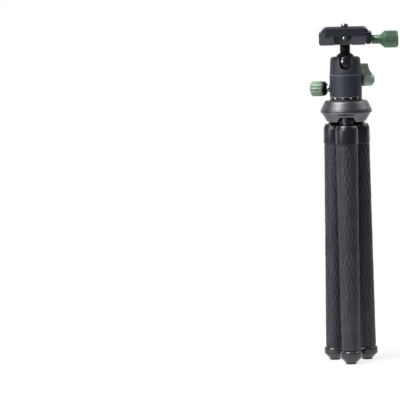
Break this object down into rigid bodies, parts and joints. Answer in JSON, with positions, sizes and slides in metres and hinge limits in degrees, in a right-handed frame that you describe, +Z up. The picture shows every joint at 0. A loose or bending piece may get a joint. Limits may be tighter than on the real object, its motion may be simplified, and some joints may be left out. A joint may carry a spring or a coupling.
{
  "type": "camera tripod",
  "caption": "Small camera tripod with bendable rubber-covered legs hinged on a hub, a panning ball head with side locks, and a dovetail clamp with a quick-release plate.",
  "frame": {"origin": "on the tripod's axis, at the level of the three soles", "axes": "+Z up along the axis, -Y to the front where one leg and the housing's notch are, +X to the clamp knob"},
  "size_m": [0.0813, 0.0504, 0.3108],
  "materials": {
    "black_metal": "satin black anodised",
    "hub_metal": "glossy black anodised",
    "green_metal": "satin green anodised",
    "steel": "polished steel",
    "ball_black": "glossy black coating",
    "scale_ring": "satin black with white marks",
    "sleeve_rubber": "embossed rubber",
    "foot_rubber": "smooth rubber",
    "pad_rubber": "ribbed rubber",
    "core_metal": "plain",
    "inner_plastic": "moulded",
    "vial_green": "clear with a bubble"
  },
  "bodies": {
    "hub": {"hub_cap": "hub_metal", "hub_spider": "hub_metal", "hub_stud": "steel", "leg_hinge_pins": "steel", "hub_screws": "steel", "pan_base": "black_metal", "pan_scale_ring": "scale_ring"},
    "head": {"housing_lower": "black_metal", "housing_upper": "black_metal", "ball_cup": "inner_plastic", "ball_wedge": "core_metal"},
    "pan_knob": {"pan_knob": "green_metal", "pan_knob_flange": "black_metal", "pan_knob_screw": "steel"},
    "lock_lever": {"lock_lever": "green_metal", "lock_screw": "steel"},
    "ball": {"ball": "ball_black"},
    "stem": {"ball_stem": "steel"},
    "clamp": {"clamp_base": "black_metal", "clamp_fixing_screw": "steel", "clamp_springs": "steel"},
    "jaw": {"clamp_jaw": "black_metal", "clamp_guide_pins": "steel"},
    "clamp_knob": {"clamp_knob": "green_metal", "clamp_screw": "steel", "level_vial": "vial_green"},
    "plate": {"quick_release_plate": "black_metal", "plate_pad": "pad_rubber", "stop_screws": "steel"},
    "camera_screw": {"camera_screw": "steel"},
    "leg_1_link_1": {"leg_1_socket": "black_metal", "leg_1_sleeve_1": "sleeve_rubber", "leg_1_core_1": "core_metal"},
    "leg_1_link_2": {"leg_1_sleeve_2": "sleeve_rubber", "leg_1_core_2": "core_metal"},
    "leg_1_link_3": {"leg_1_sleeve_3": "sleeve_rubber", "leg_1_core_3": "core_metal"},
    "leg_1_link_4": {"leg_1_sleeve_4": "sleeve_rubber", "leg_1_core_4": "core_metal", "leg_1_foot": "foot_rubber"},
    "leg_2_link_1": {"leg_2_socket": "black_metal", "leg_2_sleeve_1": "sleeve_rubber", "leg_2_core_1": "core_metal"},
    "leg_2_link_2": {"leg_2_sleeve_2": "sleeve_rubber", "leg_2_core_2": "core_metal"},
    "leg_2_link_3": {"leg_2_sleeve_3": "sleeve_rubber", "leg_2_core_3": "core_metal"},
    "leg_2_link_4": {"leg_2_sleeve_4": "sleeve_rubber", "leg_2_core_4": "core_metal", "leg_2_foot": "foot_rubber"},
    "leg_3_link_1": {"leg_3_socket": "black_metal", "leg_3_sleeve_1": "sleeve_rubber", "leg_3_core_1": "core_metal"},
    "leg_3_link_2": {"leg_3_sleeve_2": "sleeve_rubber", "leg_3_core_2": "core_metal"},
    "leg_3_link_3": {"leg_3_sleeve_3": "sleeve_rubber", "leg_3_core_3": "core_metal"},
    "leg_3_link_4": {"leg_3_sleeve_4": "sleeve_rubber", "leg_3_core_4": "core_metal", "leg_3_foot": "foot_rubber"}
  },
  "joints": [
    {"name": "leg_1_spread", "type": "hinge", "parent": "hub", "child": "leg_1_link_1", "pos_m": [0, -0.014, 0.22649], "axis": [-1, 0, 0], "range_deg": [0, 30]},
    {"name": "leg_1_bend_1", "type": "hinge", "parent": "leg_1_link_1", "child": "leg_1_link_2", "pos_m": [0, -0.01365, 0.15359], "axis": [-1, 0, 0], "range_deg": [0, 45]},
    {"name": "leg_1_bend_2", "type": "hinge", "parent": "leg_1_link_2", "child": "leg_1_link_3", "pos_m": [0, -0.01472, 0.10652], "axis": [-1, 0, 0], "range_deg": [0, 45]},
    {"name": "leg_1_bend_3", "type": "hinge", "parent": "leg_1_link_3", "child": "leg_1_link_4", "pos_m": [0, -0.01579, 0.05946], "axis": [-1, 0, 0], "range_deg": [0, 45]},
    {"name": "leg_2_spread", "type": "hinge", "parent": "hub", "child": "leg_2_link_1", "pos_m": [0.01212, 0.007, 0.22649], "axis": [0.5, -0.866, 0], "range_deg": [0, 30]},
    {"name": "leg_2_bend_1", "type": "hinge", "parent": "leg_2_link_1", "child": "leg_2_link_2", "pos_m": [0.01182, 0.00683, 0.15359], "axis": [0.5, -0.866, 0], "range_deg": [0, 45]},
    {"name": "leg_2_bend_2", "type": "hinge", "parent": "leg_2_link_2", "child": "leg_2_link_3", "pos_m": [0.01275, 0.00736, 0.10652], "axis": [0.5, -0.866, 0], "range_deg": [0, 45]},
    {"name": "leg_2_bend_3", "type": "hinge", "parent": "leg_2_link_3", "child": "leg_2_link_4", "pos_m": [0.01367, 0.00789, 0.05946], "axis": [0.5, -0.866, 0], "range_deg": [0, 45]},
    {"name": "leg_3_spread", "type": "hinge", "parent": "hub", "child": "leg_3_link_1", "pos_m": [-0.01212, 0.007, 0.22649], "axis": [0.5, 0.866, 0], "range_deg": [0, 30]},
    {"name": "leg_3_bend_1", "type": "hinge", "parent": "leg_3_link_1", "child": "leg_3_link_2", "pos_m": [-0.01182, 0.00683, 0.15359], "axis": [0.5, 0.866, 0], "range_deg": [0, 45]},
    {"name": "leg_3_bend_2", "type": "hinge", "parent": "leg_3_link_2", "child": "leg_3_link_3", "pos_m": [-0.01275, 0.00736, 0.10652], "axis": [0.5, 0.866, 0], "range_deg": [0, 45]},
    {"name": "leg_3_bend_3", "type": "hinge", "parent": "leg_3_link_3", "child": "leg_3_link_4", "pos_m": [-0.01367, 0.00789, 0.05946], "axis": [0.5, 0.866, 0], "range_deg": [0, 45]},
    {"name": "head_pan", "type": "hinge", "parent": "hub", "child": "head", "pos_m": [0, 0, 0.24079], "axis": [0, 0, 1], "continuous": true},
    {"name": "pan_knob_turn", "type": "hinge", "parent": "head", "child": "pan_knob", "pos_m": [-0.01963, 0.00382, 0.25159], "axis": [-0.9816, 0.1908, 0], "range_deg": [-180, 180]},
    {"name": "lock_lever_turn", "type": "hinge", "parent": "head", "child": "lock_lever", "pos_m": [0.01879, 0.00684, 0.25879], "axis": [0.9397, 0.342, 0], "range_deg": [-120, 180]},
    {"name": "ball_roll", "type": "hinge", "parent": "head", "child": "ball", "pos_m": [0, 0, 0.27469], "axis": [0, 1, 0], "range_deg": [-22, 22]},
    {"name": "ball_pitch", "type": "hinge", "parent": "ball", "child": "stem", "pos_m": [0, 0, 0.27469], "axis": [1, 0, 0], "range_deg": [-22, 90]},
    {"name": "ball_spin", "type": "hinge", "parent": "stem", "child": "clamp", "pos_m": [0, 0, 0.29199], "axis": [0, 0, 1], "continuous": true},
    {"name": "jaw_slide", "type": "slide", "parent": "clamp", "child": "jaw", "axis": [1, 0, 0], "range_m": [0, 0.003]},
    {"name": "clamp_knob_turn", "type": "hinge", "parent": "jaw", "child": "clamp_knob", "pos_m": [0.03, 0, 0.29569], "axis": [1, 0, 0], "range_deg": [0, 1350]},
    {"name": "plate_slide", "type": "slide", "parent": "clamp", "child": "plate", "axis": [0, 1, 0], "range_m": [-0.002, 0.002]},
    {"name": "camera_screw_turn", "type": "hinge", "parent": "plate", "child": "camera_screw", "pos_m": [0, 0, 0.30479], "axis": [0, 0, 1], "continuous": true}
  ],
  "couplings": [
    {"joint": "clamp_knob_turn", "follows": "jaw_slide", "rad_per_m": 7854}
  ]
}
